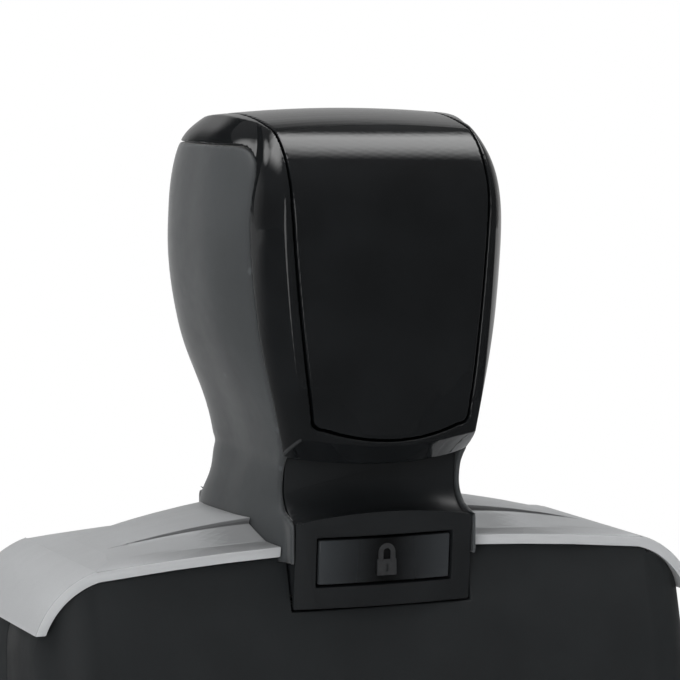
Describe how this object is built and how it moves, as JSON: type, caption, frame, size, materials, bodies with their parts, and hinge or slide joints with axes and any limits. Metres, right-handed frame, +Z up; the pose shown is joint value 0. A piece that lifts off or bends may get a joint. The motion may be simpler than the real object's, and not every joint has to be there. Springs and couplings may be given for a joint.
{
  "type": "self-inking date stamp",
  "caption": "Self-inking date stamp: palm handle with glossy cap, silver arched shoulders, lock buttons, flipping type carrier with date wheels, slide-out ink cartridge on an open foot.",
  "frame": {"origin": "middle of the foot's underside, on the desk", "axes": "+Z up, -Y front with the index panel, +X to the right across the handle"},
  "size_m": [0.114, 0.072, 0.177],
  "materials": {
    "gloss_black": "polished",
    "soft_grip": "soft touch",
    "matte_black": "fine grain",
    "satin_black": "satin",
    "silver_paint": "satin",
    "dark_panel": "fine grain",
    "steel": "zinc plated",
    "bright_steel": "ground",
    "screw_steel": "zinc plated",
    "spring_steel": "drawn",
    "carrier_plastic": "moulded",
    "tray_plastic": "moulded",
    "ink_felt": "inked foam",
    "type_rubber": "matte",
    "wheel_plastic": "moulded",
    "foot_rubber": "matte",
    "card": "paper"
  },
  "bodies": {
    "base": {"foot_frame": "matte_black", "non_slip_feet": "foot_rubber", "side_plate_left": "steel", "side_plate_right": "steel", "pad_bridge": "steel", "spring_post": "bright_steel", "bridge_screws": "screw_steel", "foot_screws": "screw_steel", "main_spring": "spring_steel"},
    "cartridge": {"ink_tray": "tray_plastic", "ink_pad": "ink_felt"},
    "handle": {"yoke": "steel", "handle_core": "matte_black", "handle_screws": "screw_steel", "shoulder_left": "silver_paint", "shoulder_right": "silver_paint", "front_panel": "dark_panel", "rear_panel": "dark_panel", "housing_screws": "screw_steel", "handle_cap": "gloss_black", "index_card": "card", "grip_left": "soft_grip", "grip_right": "soft_grip", "block_front": "matte_black", "block_rear": "matte_black", "button_spring_front": "spring_steel", "button_spring_rear": "spring_steel"},
    "carrier": {"type_carrier": "carrier_plastic", "axle_stub_left": "bright_steel", "axle_stub_right": "bright_steel", "guide_pin_left": "bright_steel", "guide_pin_right": "bright_steel", "text_plate": "type_rubber", "date_frame": "steel", "wheel_axle": "bright_steel", "band_nose": "bright_steel", "date_band_1": "type_rubber", "date_band_2": "type_rubber", "date_band_3": "type_rubber", "date_band_4": "type_rubber"},
    "index_cover": {"index_cover": "gloss_black"},
    "front_button": {"lock_button_front": "satin_black"},
    "rear_button": {"lock_button_rear": "satin_black"},
    "wheel_1": {"date_wheel_1": "wheel_plastic"},
    "wheel_2": {"date_wheel_2": "wheel_plastic"},
    "wheel_3": {"date_wheel_3": "wheel_plastic"},
    "wheel_4": {"date_wheel_4": "wheel_plastic"}
  },
  "joints": [
    {"name": "handle_press", "type": "slide", "parent": "base", "child": "handle", "axis": [0, 0, -1], "range_m": [0, 0.034], "stiffness_N_per_m": 300, "springref_m": -0.03, "deforming": ["main_spring"]},
    {"name": "type_flip", "type": "hinge", "parent": "handle", "child": "carrier", "pos_m": [0, 0, 0.047], "axis": [1, 0, 0], "range_deg": [0, 180]},
    {"name": "cartridge_slide", "type": "slide", "parent": "base", "child": "cartridge", "axis": [0, 1, 0], "range_m": [-0.05, 0]},
    {"name": "index_cover_lift", "type": "slide", "parent": "handle", "child": "index_cover", "axis": [0, 0, 1], "range_m": [0, 0.055]},
    {"name": "front_button_push", "type": "slide", "parent": "handle", "child": "front_button", "axis": [0, 1, 0], "range_m": [0, 0.0025], "stiffness_N_per_m": 400, "springref_m": -0.002, "deforming": ["button_spring_front"]},
    {"name": "rear_button_push", "type": "slide", "parent": "handle", "child": "rear_button", "axis": [0, -1, 0], "range_m": [0, 0.0025], "stiffness_N_per_m": 400, "springref_m": -0.002, "deforming": ["button_spring_rear"]},
    {"name": "date_wheel_1_turn", "type": "hinge", "parent": "carrier", "child": "wheel_1", "pos_m": [-0.0096, 0, 0.038], "axis": [1, 0, 0], "continuous": true},
    {"name": "date_wheel_2_turn", "type": "hinge", "parent": "carrier", "child": "wheel_2", "pos_m": [-0.0032, 0, 0.038], "axis": [1, 0, 0], "continuous": true},
    {"name": "date_wheel_3_turn", "type": "hinge", "parent": "carrier", "child": "wheel_3", "pos_m": [0.0032, 0, 0.038], "axis": [1, 0, 0], "continuous": true},
    {"name": "date_wheel_4_turn", "type": "hinge", "parent": "carrier", "child": "wheel_4", "pos_m": [0.0096, 0, 0.038], "axis": [1, 0, 0], "continuous": true}
  ],
  "couplings": [
    {"joint": "type_flip", "follows": "handle_press", "rad_per_m": 92.4}
  ]
}
